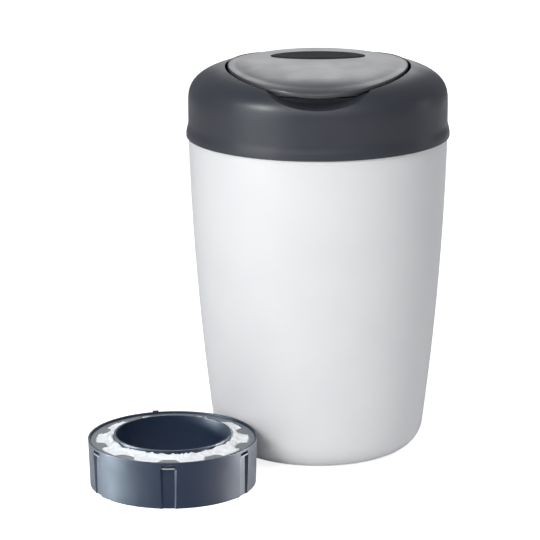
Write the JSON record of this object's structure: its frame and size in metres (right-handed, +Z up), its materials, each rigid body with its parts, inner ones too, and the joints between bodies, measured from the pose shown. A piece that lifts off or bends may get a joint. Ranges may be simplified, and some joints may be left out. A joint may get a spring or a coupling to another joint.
{
  "type": "nappy bin",
  "caption": "Round nappy bin with a tapered white tub, a lift-off domed head, a hinged flap over a twisting film holder, and a film cassette standing beside it.",
  "frame": {"origin": "on the floor, on the tub's own axis", "axes": "+Z up along the tub's axis; -Y is the front, where the flap's finger scoop is; +X is to the right seen from the front"},
  "size_m": [0.366, 0.356, 0.4088],
  "materials": {
    "tub_plastic": "smooth white moulded plastic with a soft gloss",
    "head_plastic": "dark slate grey moulded plastic, satin with a very fine grain",
    "flap_plastic": "mid grey moulded plastic, satin",
    "inlay_plastic": "plain dark inlay",
    "liner_plastic": "light grey moulded plastic",
    "inner_plastic": "grey moulded plastic",
    "holder_plastic": "mid grey moulded plastic",
    "finger_plastic": "light springy plastic",
    "seal_rubber": "soft black seal",
    "screw_steel": "plated steel",
    "cassette_plastic": "glossy dark blue-grey moulded plastic",
    "cover_plastic": "thin grey plastic ring",
    "film": "thin white plastic film, crumpled"
  },
  "bodies": {
    "tub": {"tub": "tub_plastic"},
    "head": {"head_cover": "head_plastic", "head_seal": "seal_rubber", "well_tray": "inner_plastic", "tray_screws": "screw_steel", "gripper_cup": "inner_plastic", "cup_screws": "screw_steel", "hinge_pin": "screw_steel"},
    "flap": {"flap_cover": "flap_plastic", "flap_inlay": "inlay_plastic", "flap_liner": "liner_plastic", "flap_seal": "seal_rubber"},
    "holder": {"twist_holder": "holder_plastic", "holder_retainer": "inner_plastic"},
    "finger_1": {"gripper_finger_1": "finger_plastic"},
    "finger_2": {"gripper_finger_2": "finger_plastic"},
    "finger_3": {"gripper_finger_3": "finger_plastic"},
    "finger_4": {"gripper_finger_4": "finger_plastic"},
    "finger_5": {"gripper_finger_5": "finger_plastic"},
    "finger_6": {"gripper_finger_6": "finger_plastic"},
    "cassette": {"cassette_body": "cassette_plastic", "cassette_cover": "cover_plastic", "film_pack": "film"}
  },
  "joints": [
    {"name": "head_lift", "type": "slide", "parent": "tub", "child": "head", "axis": [0, 0, 1], "range_m": [0, 0.25]},
    {"name": "flap_hinge", "type": "hinge", "parent": "head", "child": "flap", "pos_m": [0, 0.11, 0.3868], "axis": [-1, 0, 0], "range_deg": [0, 100]},
    {"name": "holder_turn", "type": "hinge", "parent": "head", "child": "holder", "pos_m": [0, 0, 0.3333], "axis": [0, 0, 1], "continuous": true},
    {"name": "finger_1_bend", "type": "hinge", "parent": "head", "child": "finger_1", "pos_m": [0.0549, 0, 0.31225], "axis": [0, -1, 0], "range_deg": [0, 45], "stiffness_Nm_per_rad": 0.03, "springref_deg": -8.59},
    {"name": "finger_2_bend", "type": "hinge", "parent": "head", "child": "finger_2", "pos_m": [0.02745, 0.04754, 0.31225], "axis": [0.866, -0.5, 0], "range_deg": [0, 45], "stiffness_Nm_per_rad": 0.03, "springref_deg": -8.59},
    {"name": "finger_3_bend", "type": "hinge", "parent": "head", "child": "finger_3", "pos_m": [-0.02745, 0.04754, 0.31225], "axis": [0.866, 0.5, 0], "range_deg": [0, 45], "stiffness_Nm_per_rad": 0.03, "springref_deg": -8.59},
    {"name": "finger_4_bend", "type": "hinge", "parent": "head", "child": "finger_4", "pos_m": [-0.0549, 0, 0.31225], "axis": [0, 1, 0], "range_deg": [0, 45], "stiffness_Nm_per_rad": 0.03, "springref_deg": -8.59},
    {"name": "finger_5_bend", "type": "hinge", "parent": "head", "child": "finger_5", "pos_m": [-0.02745, -0.04754, 0.31225], "axis": [-0.866, 0.5, 0], "range_deg": [0, 45], "stiffness_Nm_per_rad": 0.03, "springref_deg": -8.59},
    {"name": "finger_6_bend", "type": "hinge", "parent": "head", "child": "finger_6", "pos_m": [0.02745, -0.04754, 0.31225], "axis": [-0.866, -0.5, 0], "range_deg": [0, 45], "stiffness_Nm_per_rad": 0.03, "springref_deg": -8.59},
    {"name": "cassette_lift", "type": "slide", "parent": "tub", "child": "cassette", "axis": [-0.5199, -0.4839, 0.7039], "range_m": [0, 0.2]}
  ]
}
